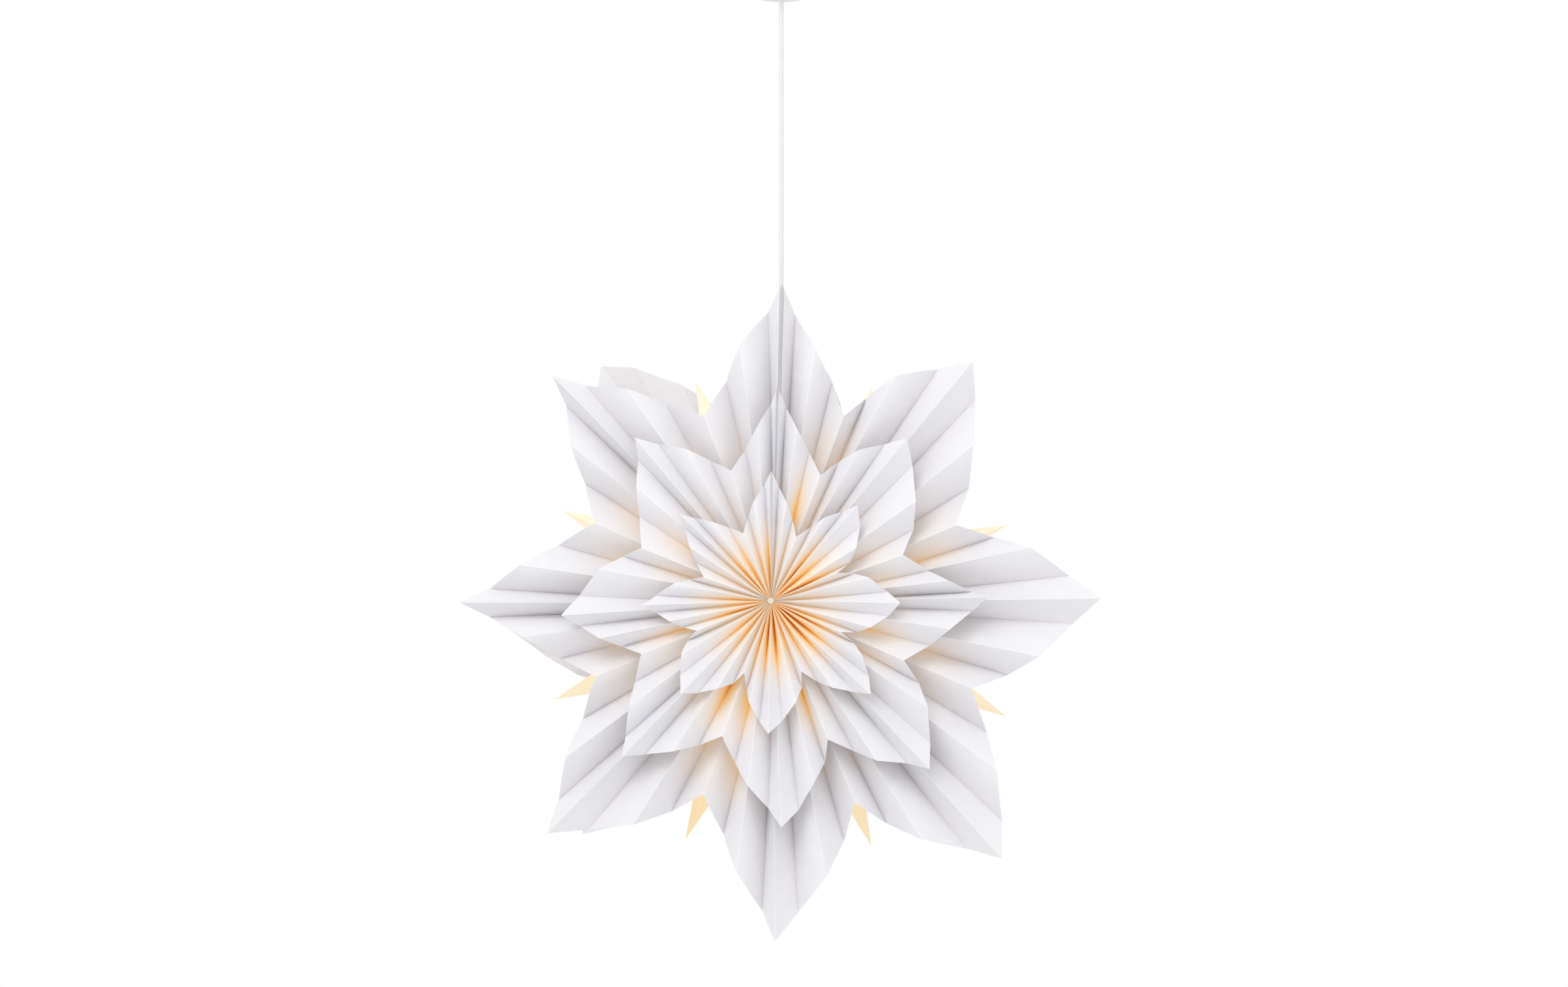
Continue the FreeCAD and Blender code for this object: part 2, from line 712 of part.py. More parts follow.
def ceiling_cup():
    """The canopy that hides the ceiling fitting: a drawn cone with a flat floor."""
    slope = (cup_top_radius - cup_bottom_radius) / cup_height
    inner_low = cup_bottom_radius - cup_wall + slope * cup_wall
    return turned([(bush_radius + glue_line, cup_bottom), (cup_bottom_radius, cup_bottom),
                   (cup_top_radius, cup_top), (cup_top_radius - cup_wall, cup_top),
                   (inner_low, cup_bottom + cup_wall), (bush_radius + glue_line, cup_bottom + cup_wall)])


def cup_bush():
    """The collared bush in the cup's floor that grips the cord."""
    bush = tube(bush_radius, cord_radius + running, VEC(0, 0, bush_bottom), VEC(0, 0, bush_top))
    collar = tube(bush_collar_radius, cord_radius + running, VEC(0, 0, bush_top - bush_collar_height),
                  VEC(0, 0, bush_top))
    return bush.fuse(collar).removeSplitter().cut(screw_way(bush_radius, cup_screw_z))


# ---- write every piece ----
os.makedirs("parts", exist_ok=True)

for side_name, side_sign in (("front", -1), ("rear", 1)):
    for layer, tip_radius, strip, waist_radius, middle in layers:
        save(side_name + "_" + layer + "_star",
             pleated_star(tip_radius, strip, waist_radius, middle, side_sign))
        save(side_name + "_" + layer + "_thread", gather_thread(middle, side_sign))
    save(side_name + "_centre_button", centre_button(side_sign))
    save(side_name + "_frame", star_frame(side_sign))
    save(side_name + "_eyelet", star_eyelet(side_sign))
save("drum_band", drum_band())
for spike_index in range(points):
    save("side_spike_" + str(spike_index + 1), spike(spike_index))

save("wire_spreader", wire_spreader())
save("hanger_clips", *hanger_clips())
save("holder_body", holder_body())
save("holder_cap", holder_cap())
save("cord_gland", cord_gland())
save("gland_screw", grub_screw(boss_radius - seat, gland_screw_z))
save("contact_base", contact_base())
save("base_screws", *base_screws())
save("socket_shell", socket_shell())
save("socket_contact", socket_contact())
save("holder_live_core", holder_core(1))
save("holder_neutral_core", holder_core(-1))
save("shade_ring", shade_ring())

save("bulb_glass", bulb_glass())
save("bulb_cap", bulb_cap())
save("bulb_insulator", bulb_insulator())
save("bulb_contact", bulb_contact())
save("bulb_stem", bulb_stem())
save("bulb_filament", bulb_filament())

save("power_cord", power_cord())
save("ceiling_plate", ceiling_plate())
save("clamp_bracket", clamp_bracket())
save("bracket_screws", *bracket_screws())
save("cord_clamp", cord_clamp())
save("clamp_screw", grub_screw(clamp_radius - seat, clamp_screw_z))
save("terminal_block", terminal_block())
save("terminal_screws", *terminal_screws())
save("ceiling_live_core", ceiling_core(1))
save("ceiling_neutral_core", ceiling_core(-1))
save("ceiling_cup", ceiling_cup())
save("cup_bush", cup_bush())
save("cup_grub_screw", grub_screw(bush_radius + grub_screw_head, cup_screw_z))
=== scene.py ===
import json
import math
import random

import bpy
from mathutils import Matrix, Vector


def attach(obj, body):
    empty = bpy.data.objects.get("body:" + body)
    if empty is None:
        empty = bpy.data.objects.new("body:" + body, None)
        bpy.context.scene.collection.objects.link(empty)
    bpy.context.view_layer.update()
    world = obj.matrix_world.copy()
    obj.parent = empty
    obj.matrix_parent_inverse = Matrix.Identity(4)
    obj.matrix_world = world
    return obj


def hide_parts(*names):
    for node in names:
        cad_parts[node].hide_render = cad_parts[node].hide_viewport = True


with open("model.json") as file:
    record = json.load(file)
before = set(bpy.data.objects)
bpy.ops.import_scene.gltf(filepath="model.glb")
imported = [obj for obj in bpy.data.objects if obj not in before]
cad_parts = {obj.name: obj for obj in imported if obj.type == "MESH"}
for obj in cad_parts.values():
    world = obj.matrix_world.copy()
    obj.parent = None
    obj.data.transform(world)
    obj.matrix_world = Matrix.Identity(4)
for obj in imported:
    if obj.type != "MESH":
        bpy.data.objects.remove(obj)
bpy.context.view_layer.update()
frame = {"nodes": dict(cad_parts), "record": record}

scene = bpy.context.scene
cadNodes = frame["nodes"]
starHeight = -0.760  # metres from the ceiling to the middle of the star


def srgb(hexText):
    parts = [int(hexText[i:i + 2], 16) / 255 for i in (1, 3, 5)]
    linear = [p / 12.92 if p <= 0.04045 else ((p + 0.055) / 1.055) ** 2.4 for p in parts]
    return (*linear, 1.0)


def addNode(tree, kind, links=None, **settings):
    node = tree.nodes.new(kind)
    for name, value in settings.items():
        setattr(node, name, value)
    for socket, source in (links or {}).items():
        if isinstance(source, bpy.types.NodeSocket):
            tree.links.new(source, node.inputs[socket])
        else:
            node.inputs[socket].default_value = source
    return node


def addPiece(name, data):
    piece = bpy.data.objects.new(name, data)
    scene.collection.objects.link(piece)
    return piece


def openMaterial(name):
    material = bpy.data.materials.new(name)
    material.use_nodes = True
    material.node_tree.nodes.clear()
    return material, material.node_tree


def openTree(name, inputs, output):
    tree = bpy.data.node_groups.new(name, "GeometryNodeTree")
    for label, kind, value in inputs:
        socket = tree.interface.new_socket(label, in_out="INPUT", socket_type=kind)
        if value is not None:
            socket.default_value = value
    tree.interface.new_socket(output, in_out="OUTPUT", socket_type="NodeSocketGeometry")
    return tree, addNode(tree, "NodeGroupInput").outputs


# Camera: the photo looks slightly up at the star, from a little to its right.
cameraPlan = {
    "distance": 2.415, "azimuth": 4.5, "elevation": -3.4,
    "lens": 50.0, "sensor": 36.0, "farthest": 50.0,
    "imageWidth": 2408, "imageHeight": 1515,
    "starColumn": 1200, "starRow": 934.5,
}


def placeCamera(plan):
    data = bpy.data.cameras.new("photoCamera")
    data.lens = plan["lens"]
    data.sensor_width = plan["sensor"]
    data.clip_end = plan["farthest"]
    seen = addPiece("photoCamera", data)
    turn, rise = math.radians(plan["azimuth"]), math.radians(plan["elevation"])
    target = Vector((0, 0, starHeight))
    away = Vector((math.sin(turn) * math.cos(rise), -math.cos(turn) * math.cos(rise), math.sin(rise)))
    place = target + away * plan["distance"]
    focal = plan["lens"] / plan["sensor"] * plan["imageWidth"]
    right = math.atan((plan["imageWidth"] / 2 - plan["starColumn"]) / focal)
    up = math.atan((plan["starRow"] - plan["imageHeight"] / 2) / focal)
    looking = (target - place).to_track_quat("-Z", "Y").to_matrix().to_4x4()
    seen.matrix_world = (Matrix.Translation(place) @ looking
                         @ Matrix.Rotation(-right, 4, "Y") @ Matrix.Rotation(up, 4, "X"))
    scene.camera = seen


placeCamera(cameraPlan)
print("camera placed")

# Cord: 5 mm, hanging straight from the ceiling fitting into the lamp holder.
cordPlan = {
    "diameter": 0.005, "lowerEnd": starHeight + 0.0908, "upperEnd": -0.0265, "straight": 0.03,
    "roundness": 6, "smoothness": 12,
    "ceilingPieces": ("ceiling_plate", "clamp_bracket", "bracket_screws", "cord_clamp", "clamp_screw",
                      "terminal_block", "terminal_screws", "ceiling_live_core", "ceiling_neutral_core",
                      "ceiling_cup", "cup_bush", "cup_grub_screw"),
}


def makeCord(plan):
    heights = (plan["lowerEnd"], plan["lowerEnd"] + plan["straight"],
               plan["upperEnd"] - plan["straight"], plan["upperEnd"])
    data = bpy.data.curves.new("powerCord", "CURVE")
    data.dimensions = "3D"
    run = data.splines.new("NURBS")
    run.points.add(len(heights) - 1)
    for point, height in zip(run.points, heights):
        point.co = (0, 0, height, 1)
        point.radius = plan["diameter"] / 2
    run.order_u = 3
    run.use_endpoint_u = True
    data.bevel_depth = 1.0
    data.bevel_resolution = plan["roundness"]
    data.resolution_u = plan["smoothness"]
    data.use_fill_caps = True
    return addPiece("powerCord", data)


powerCord = makeCord(cordPlan)
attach(powerCord, "ceiling")
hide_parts("power_cord")
print("cord made")

# Studio: a pale floor, a white surround and three soft lights.
studioPlan = {
    "floorHeight": -2.4, "floorSize": 6.0, "floorColour": "#F2F2F2",
    "floorRoughness": 0.8,
    "surroundSeen": 1.0, "surroundLight": 0.87,
    "softboxes": (
        {"name": "keySoftbox", "place": (-0.7, -2.7, 1.2), "size": 2.0, "watts": 34.0},
        {"name": "fillSoftbox", "place": (2.6, -2.2, -0.9), "size": 2.2, "watts": 6.0},
        {"name": "backSoftbox", "place": (0.9, 2.9, 0.2), "size": 2.0, "watts": 12.0},
    ),
}


def buildStudio(plan):
    half, low = plan["floorSize"] / 2, plan["floorHeight"]
    sheet = bpy.data.meshes.new("studioFloor")
    corners = [(-half, -half, low), (half, -half, low), (half, half, low), (-half, half, low)]
    sheet.from_pydata(corners, [], [(0, 1, 2, 3)])
    paint = bpy.data.materials.new("mattFloorPaint")
    paint.use_nodes = True
    surface = paint.node_tree.nodes["Principled BSDF"]
    surface.inputs["Base Color"].default_value = srgb(plan["floorColour"])
    surface.inputs["Roughness"].default_value = plan["floorRoughness"]
    sheet.materials.append(paint)
    floor = addPiece("studioFloor", sheet)
    world = bpy.data.worlds.new("whiteSurround")
    scene.world = world
    world.use_nodes = True
    tree = world.node_tree
    tree.nodes.clear()
    white = srgb("#FFFFFF")
    path = addNode(tree, "ShaderNodeLightPath")
    seen = addNode(tree, "ShaderNodeBackground", {"Strength": plan["surroundSeen"], "Color": white})
    light = addNode(tree, "ShaderNodeBackground", {"Strength": plan["surroundLight"], "Color": white})
    both = addNode(tree, "ShaderNodeMixShader", {0: path.outputs["Is Camera Ray"], 1: light.outputs[0],
                                                 2: seen.outputs[0]})
    addNode(tree, "ShaderNodeOutputWorld", {"Surface": both.outputs[0]})
    for box in plan["softboxes"]:
        lamp = bpy.data.lights.new(box["name"], "AREA")
        lamp.shape = "DISK"
        lamp.size = box["size"]
        lamp.energy = box["watts"]
        place = Vector(box["place"])
        aim = (Vector((0, 0, starHeight)) - place).to_track_quat("-Z", "Y").to_matrix().to_4x4()
        addPiece(box["name"], lamp).matrix_world = Matrix.Translation(place) @ aim


buildStudio(studioPlan)
scene.view_settings.view_transform = "Standard"
scene.view_settings.look = "None"
print("studio built")


# Folded paper: about 120 g/m2, matt and slightly see-through. It gives the eye soft grey shade on steep
# folds, a fine cloudy formation, short fibres along the strip, a painted highlight along the ridges, a
# painted shade along the valley creases and the bulb's orange light, painted, deep in the valleys.
paperPlan = {
    "colour": "#F6F6FB", "cloudColour": "#F0F0F5", "cloudMm": 9.0, "roughness": 0.82, "specular": 0.25,
    "fibreLongMm": 4.0, "fibreWideMm": 0.5, "fibreBumpMm": 0.04, "fibreBump": 0.5,
    "cockleMm": 38.0, "cockleBumpMm": 1.2, "cockleBump": 0.8,
    # a painted highlight: white along each ridge
    "ridgeHighlightColour": "#FFFFFF", "ridgeHighlightMm": 0.9, "ridgeHighlightWeight": 0.9,
    # a painted shade: warm grey along each valley crease
    "valleyShadeColour": "#E0D5CC", "valleyShadeMm": 1.4, "valleyShadeWeight": 0.24,
    "lightThrough": 0.14, "throughColour": "#FFF3E4",
    # the bulb's light painted on the paper, from none to the most
    "glow": ((0.0, "#FFFFFF"), (0.25, "#FAEEDD"), (0.5, "#FEDC9C"), (0.75, "#EBA856"), (1.0, "#D07622")),
    "glowStrength": 0.50, "glowCeiling": 1.2, "valleyGlow": 0.75,
}


def pleatedPaper(name, plan):
    paper, tree = openMaterial(name)
    place = addNode(tree, "ShaderNodeAttribute", attribute_name="paperPlace")
    share = addNode(tree, "ShaderNodeAttribute", attribute_name="facetShare")
    width = addNode(tree, "ShaderNodeAttribute", attribute_name="facetWidth")
    lamp = addNode(tree, "ShaderNodeAttribute", attribute_name="lampGlow")
    clouds = addNode(tree, "ShaderNodeTexNoise", {"Vector": place.outputs["Vector"], "Detail": 3.0,
                                                  "Scale": 1000 / plan["cloudMm"]})
    strands = addNode(tree, "ShaderNodeMapping", {
        "Vector": place.outputs["Vector"],
        "Scale": (1000 / plan["fibreLongMm"], 1000 / plan["fibreWideMm"], 1.0)})
    fibres = addNode(tree, "ShaderNodeTexNoise", {"Vector": strands.outputs[0], "Detail": 2.0, "Scale": 1.0})
    cockle = addNode(tree, "ShaderNodeTexNoise", {"Vector": place.outputs["Vector"], "Detail": 1.0,
                                                  "Scale": 1000 / plan["cockleMm"]})
    base = addNode(tree, "ShaderNodeMix", {0: clouds.outputs["Fac"], 6: srgb(plan["colour"]),
                                           7: srgb(plan["cloudColour"])}, data_type="RGBA")
    # metres from the nearest ridge and from the nearest valley crease
    valleyGap = addNode(tree, "ShaderNodeMath", {0: share.outputs["Fac"], 1: width.outputs["Fac"]},
                        operation="MULTIPLY")
    ridgeGap = addNode(tree, "ShaderNodeMath", {0: width.outputs["Fac"], 1: valleyGap.outputs[0]},
                       operation="SUBTRACT")
    valley = addNode(tree, "ShaderNodeMapRange", {
        0: valleyGap.outputs[0], 1: 0.0, 2: plan["valleyShadeMm"] / 1000, 3: plan["valleyShadeWeight"], 4: 0.0},
        interpolation_type="SMOOTHSTEP")
    ridge = addNode(tree, "ShaderNodeMapRange", {
        0: ridgeGap.outputs[0], 1: 0.0, 2: plan["ridgeHighlightMm"] / 1000, 3: plan["ridgeHighlightWeight"], 4: 0.0},
        interpolation_type="SMOOTHSTEP")
    # painted highlight: the paper lightened to white along each ridge
    ridgeHighlighted = addNode(tree, "ShaderNodeMix", {0: ridge.outputs[0], 6: base.outputs[2],
                                           7: srgb(plan["ridgeHighlightColour"])}, data_type="RGBA")
    # painted shade: the paper darkened to warm grey along each valley crease
    valleyShaded = addNode(tree, "ShaderNodeMix", {0: valley.outputs[0], 6: ridgeHighlighted.outputs[2],
                                              7: srgb(plan["valleyShadeColour"])}, data_type="RGBA")
    # painted light: the bulb's light from behind gathers in the valleys, in the paper's colour and as
    # emission
    depth = addNode(tree, "ShaderNodeMath", {0: 1.0, 1: share.outputs["Fac"]}, operation="SUBTRACT")
    depth = addNode(tree, "ShaderNodeMapRange", {0: depth.outputs[0], 1: 0.0, 2: 1.0,
                                                 3: 1 - plan["valleyGlow"], 4: 1.0})
    glow = addNode(tree, "ShaderNodeMath", {0: depth.outputs[0], 1: lamp.outputs["Fac"]},
                   operation="MULTIPLY", use_clamp=True)
    tint = addNode(tree, "ShaderNodeValToRGB", {0: glow.outputs[0]})
    ramp = tint.color_ramp.elements
    while len(ramp) < len(plan["glow"]):
        ramp.new(0.5)
    for stop, (position, hexText) in zip(ramp, plan["glow"]):
        stop.position = position
        stop.color = srgb(hexText)
    lit = addNode(tree, "ShaderNodeMix", {0: 1.0, 6: valleyShaded.outputs[2], 7: tint.outputs[0]},
                  data_type="RGBA", blend_type="MULTIPLY")
    # painted glow: pale gold shines most, deep orange is paper in its own painted shade
    shade = addNode(tree, "ShaderNodeMath", {0: plan["glowCeiling"], 1: glow.outputs[0]},
                    operation="SUBTRACT")
    shine = addNode(tree, "ShaderNodeMath", {0: glow.outputs[0], 1: shade.outputs[0]}, operation="MULTIPLY")
    power = addNode(tree, "ShaderNodeMath", {0: shine.outputs[0], 1: plan["glowStrength"]},
                    operation="MULTIPLY")
    grain = addNode(tree, "ShaderNodeBump", {
        "Height": fibres.outputs["Fac"], "Distance": plan["fibreBumpMm"] / 1000,
        "Strength": plan["fibreBump"]})
    wavy = addNode(tree, "ShaderNodeBump", {
        "Height": cockle.outputs["Fac"], "Distance": plan["cockleBumpMm"] / 1000,
        "Strength": plan["cockleBump"], "Normal": grain.outputs[0]})
    surface = addNode(tree, "ShaderNodeBsdfPrincipled", {
        "Base Color": lit.outputs[2], "Roughness": plan["roughness"], "Specular IOR Level": plan["specular"],
        "Normal": wavy.outputs[0], "Emission Color": tint.outputs[0], "Emission Strength": power.outputs[0]})
    through = addNode(tree, "ShaderNodeBsdfTranslucent", {"Color": srgb(plan["throughColour"]),
                                                          "Normal": wavy.outputs[0]})
    sheet = addNode(tree, "ShaderNodeMixShader", {0: plan["lightThrough"], 1: surface.outputs[0],
                                                  2: through.outputs[0]})
    addNode(tree, "ShaderNodeOutputMaterial", {"Surface": sheet.outputs[0]})
    return paper


foldedPaper = pleatedPaper("foldedWhitePaper", paperPlan)

# Pleated stars: 64 folds each, eight to a point. The cut line holds each fold's outer end, and the tree
# pleats the paper in to the middle.
starPlan = {
    "foldsPerPoint": 8, "points": 8, "rows": 20, "stepsPerFacet": 6, "thickness": 0.00035, "gather": 0.0026,
    "spread": (0.0, 0.17, 0.45, 0.70, 1.0),     # where the folds end between a tip and a notch, as an angle
    "drop": (0.0, 0.22, 0.50, 0.74, 1.0),       # and how far down the cut edge
    "bow": (0.0006, 0.0050, 0.0042, 0.0046),    # how far a facet bulges, from the tip outwards
    "angleJitter": 0.35, "reachJitter": 0.006, "crestJitter": 0.10, "bowJitter": 0.4,
    "rowCrowding": 1.25, "flattestPleat": 0.3, "weld": 0.000005,
    "large": {"strip": 0.040, "middle": 0.075, "lean": 0.004, "glowFrom": 0.140,
              "glowTo": 0.235, "glowBase": 0.12},
    "medium": {"strip": 0.027, "middle": 0.1094, "lean": 0.0025, "glowFrom": 0.080,
               "glowTo": 0.172, "glowBase": 0.14},
    "small": {"strip": 0.017, "middle": 0.1323, "lean": 0.0015, "glowFrom": 0.020,
              "glowTo": 0.106, "glowBase": 0.38},
    # where the bulb's painted glow shines through: degrees clockwise from the top, spread in degrees,
    # strength
    "glows": {
        "front_large": ((20, 4, 0.4), (70, 5, 0.4), (112, 7, 0.35), (198, 10, 0.55), (251, 8, 0.3),
                        (300, 25, 0.25)),
        "front_medium": ((197, 12, 0.60), (212, 12, 0.45), (163, 5, 0.6), (16, 6, 0.6), (251, 6, 0.55),
                         (109, 12, 0.4), (300, 18, 0.25), (75, 14, 0.2)),
        "front_small": ((352, 5, 0.8), (42, 7, 1.0), (62, 6, 0.9), (322, 9, 0.55), (270, 5, 0.45),
                        (255, 6, 0.5), (120, 10, 0.9), (140, 10, 0.9), (170, 8, 0.9), (190, 8, 0.75),
                        (225, 14, 0.35)),
        "rear_large": ((60, 10, 0.4), (200, 12, 0.4)),
        "rear_medium": ((100, 10, 0.5), (240, 10, 0.5)),
        "rear_small": ((20, 10, 0.8), (140, 12, 0.9), (250, 12, 0.8))},
    # how each star was folded, a row for each point, clockwise from the top: how far its tip is off its
    # even place (degrees), its reach (mm), the same two for the notch after it, and how far the folds
    # before and after the tip crowd towards the notches
    "folding": {
        "front_large": ((1.2, 348, -2.2, 214, -0.05, -0.05), (-5.7, 336, -0.6, 210, 0.15, 0.0),
                        (-0.7, 345, 1.0, 227, 0.05, 0.05), (3.3, 358, 0.5, 226, 0.0, 0.05),
                        (0.0, 354, -1.9, 215, 0.05, -0.05), (0.1, 344, 0.8, 207, 0.05, -0.05),
                        (0.6, 343, 1.9, 214, -0.1, -0.1), (0.8, 349, 1.9, 217, -0.1, -0.05)),
        "front_medium": ((1.2, 229, -1.6, 143, -0.1, -0.1), (-5.5, 224, 2.9, 146, 0.1, 0.05),
                         (-1.0, 226, 1.6, 151, -0.15, -0.05), (1.8, 239, 0.5, 155, 0.1, 0.0),
                         (-2.2, 235, -1.8, 150, 0.1, 0.0), (-0.4, 227, 1.3, 149, 0.0, -0.05),
                         (-3.2, 226, 0.2, 151, 0.0, 0.1), (5.0, 230, 5.0, 146, -0.1, 0.0)),
        "front_small": ((0.1, 137, -0.9, 72, 0.0, -0.05), (-2.8, 135, 0.0, 75, 0.0, 0.2),
                        (1.1, 135, 1.8, 80, 0.15, 0.15), (-1.9, 142, -0.8, 80, 0.2, 0.05),
                        (1.3, 138, -2.0, 80, 0.15, 0.1), (-0.4, 135, 1.0, 84, 0.1, 0.2),
                        (-1.5, 135, -3.0, 75, 0.0, 0.1), (-1.4, 133, 0.2, 77, -0.05, -0.05)),
        "rear_large": ((0.6, 343, -3.2, 213, 0.0, 0.05), (-7.0, 343, -4.1, 212, 0.0, -0.05),
                       (-1.2, 340, 0.2, 212, 0.05, 0.0), (1.5, 345, 1.6, 212, 0.0, 0.0),
                       (1.6, 340, -0.2, 212, -0.05, 0.05), (-2.0, 343, -0.8, 214, 0.0, 0.05),
                       (0.5, 347, 4.0, 218, 0.0, 0.0), (8.0, 362, 6.0, 227, 0.05, 0.15)),
        "rear_medium": ((-1.5, 229, 0.2, 141, 0.0, 0.05), (1.8, 226, 1.1, 141, 0.05, 0.0),
                        (0.4, 229, -0.9, 141, 0.0, 0.0), (-2.1, 227, -0.3, 140, -0.05, 0.05),
                        (1.6, 224, 0.5, 141, 0.0, 0.0), (-0.7, 229, 0.8, 141, 0.05, 0.0),
                        (2.2, 227, 0.6, 140, 0.0, -0.05), (-1.0, 226, -1.3, 141, 0.0, 0.0)),
        "rear_small": ((0.9, 136, -0.4, 85, 0.0, 0.0), (-1.6, 138, 0.2, 84, 0.05, 0.0),
                       (2.0, 135, 1.2, 84, 0.0, 0.05), (0.3, 136, -0.8, 85, 0.0, 0.0),
                       (-1.9, 138, -0.4, 85, 0.05, 0.05), (1.2, 135, 0.4, 85, 0.0, 0.0),
                       (-0.5, 138, 0.3, 85, -0.05, 0.0), (1.1, 136, 1.0, 84, 0.0, 0.0))},
}


def pleatTree(plan, paper):
    count = plan["points"] * plan["foldsPerPoint"]
    hair = 0.001  # of a facet, so that rounding never puts a crease in the facet before it
    tree, given = openTree("pleatedStar", (
        ("Cut line", "NodeSocketGeometry", None), ("Gather radius", "NodeSocketFloat", plan["gather"]),
        ("Strip width", "NodeSocketFloat", plan["large"]["strip"]),
        ("Middle", "NodeSocketFloat", plan["large"]["middle"]), ("Facing", "NodeSocketFloat", -1.0),
        ("Star height", "NodeSocketFloat", starHeight),
        ("Glow from", "NodeSocketFloat", plan["large"]["glowFrom"]),
        ("Glow to", "NodeSocketFloat", plan["large"]["glowTo"]), ("Rows", "NodeSocketInt", plan["rows"]),
        ("Steps per facet", "NodeSocketInt", plan["stepsPerFacet"])), "Star")
    # a grid: X runs along the folds from the middle, Y runs round the star
    rowPoints = addNode(tree, "ShaderNodeMath", {0: given["Rows"], 1: 1.0}, operation="ADD")
    roundSteps = addNode(tree, "ShaderNodeMath", {0: given["Steps per facet"], 1: float(count), 2: 1.0},
                         operation="MULTIPLY_ADD")
    grid = addNode(tree, "GeometryNodeMeshGrid", {
        "Size X": 1.0, "Size Y": 1.0, "Vertices X": rowPoints.outputs[0],
        "Vertices Y": roundSteps.outputs[0]})
    flat = addNode(tree, "ShaderNodeSeparateXYZ", {0: addNode(tree, "GeometryNodeInputPosition").outputs[0]})
    outward = addNode(tree, "ShaderNodeMath", {0: flat.outputs["X"], 1: 0.5}, operation="ADD", use_clamp=True)
    outward = addNode(tree, "ShaderNodeMath", {0: outward.outputs[0], 1: plan["rowCrowding"]},
                      operation="POWER")
    around = addNode(tree, "ShaderNodeMath", {0: flat.outputs["Y"], 1: float(count), 2: count / 2},
                     operation="MULTIPLY_ADD")
    nudged = addNode(tree, "ShaderNodeMath", {0: around.outputs[0], 1: hair}, operation="ADD")
    fold = addNode(tree, "ShaderNodeMath", {0: nudged.outputs[0]}, operation="FLOOR")
    across = addNode(tree, "ShaderNodeMath", {0: around.outputs[0], 1: fold.outputs[0]}, operation="SUBTRACT",
                     use_clamp=True)
    ends, crests, bows, glows = [], [], [], []
    for step in (0.0, 1.0):
        after = addNode(tree, "ShaderNodeMath", {0: fold.outputs[0], 1: step}, operation="ADD")
        index = addNode(tree, "ShaderNodeMath", {0: after.outputs[0], 1: float(count)}, operation="MODULO")
        place = addNode(tree, "GeometryNodeInputPosition")
        ends.append(addNode(tree, "GeometryNodeSampleIndex", {
            "Geometry": given["Cut line"], "Value": place.outputs[0], "Index": index.outputs[0]},
            data_type="FLOAT_VECTOR").outputs[0])
        for name, found in (("crest", crests), ("bow", bows), ("glow", glows)):
            held = addNode(tree, "GeometryNodeInputNamedAttribute", {"Name": name}, data_type="FLOAT")
            found.append(addNode(tree, "GeometryNodeSampleIndex", {
                "Geometry": given["Cut line"], "Value": held.outputs[0], "Index": index.outputs[0]},
                data_type="FLOAT").outputs[0])
    # each fold runs straight out from the gather
    folds = []
    for end in ends:
        level = addNode(tree, "ShaderNodeVectorMath", {0: end, 1: (1.0, 0.0, 1.0)}, operation="MULTIPLY")
        length = addNode(tree, "ShaderNodeVectorMath", {0: level.outputs[0]}, operation="LENGTH")
        heading = addNode(tree, "ShaderNodeVectorMath", {0: level.outputs[0]}, operation="NORMALIZE")
        radius = addNode(tree, "ShaderNodeMix", {0: outward.outputs[0], 2: given["Gather radius"],
                                                 3: length.outputs["Value"]}, data_type="FLOAT")
        crease = addNode(tree, "ShaderNodeVectorMath", {0: heading.outputs[0], "Scale": radius.outputs[0]},
                         operation="SCALE")
        folds.append(crease.outputs[0])
    plane = addNode(tree, "ShaderNodeMix", {0: across.outputs[0], 4: folds[0], 5: folds[1]},
                    data_type="VECTOR")
    reach = addNode(tree, "ShaderNodeVectorMath", {0: plane.outputs[1]}, operation="LENGTH")
    gap = addNode(tree, "ShaderNodeVectorMath", {0: folds[0], 1: folds[1]}, operation="DISTANCE")
    # the pleat is as high as its strip of paper allows at this radius
    arc = addNode(tree, "ShaderNodeMath", {0: reach.outputs["Value"], 1: 2 * math.pi / count},
                  operation="MULTIPLY")
    arcSquare = addNode(tree, "ShaderNodeMath", {0: arc.outputs[0], 1: 2.0}, operation="POWER")
    stripSquare = addNode(tree, "ShaderNodeMath", {0: given["Strip width"], 1: 2.0}, operation="POWER")
    left = addNode(tree, "ShaderNodeMath", {0: stripSquare.outputs[0], 1: arcSquare.outputs[0]},
                   operation="SUBTRACT")
    least = addNode(tree, "ShaderNodeMath", {0: stripSquare.outputs[0], 1: plan["flattestPleat"] ** 2},
                    operation="MULTIPLY")
    most = addNode(tree, "ShaderNodeMath", {0: left.outputs[0], 1: least.outputs[0]}, operation="MAXIMUM")
    pleat = addNode(tree, "ShaderNodeMath", {0: most.outputs[0]}, operation="SQRT")
    half = addNode(tree, "ShaderNodeMath", {0: pleat.outputs[0], 1: 0.5}, operation="MULTIPLY")
    crest = addNode(tree, "ShaderNodeMix", {0: across.outputs[0], 2: crests[0], 3: crests[1]},
                    data_type="FLOAT")
    height = addNode(tree, "ShaderNodeMath", {0: crest.outputs[0], 1: half.outputs[0]}, operation="MULTIPLY")
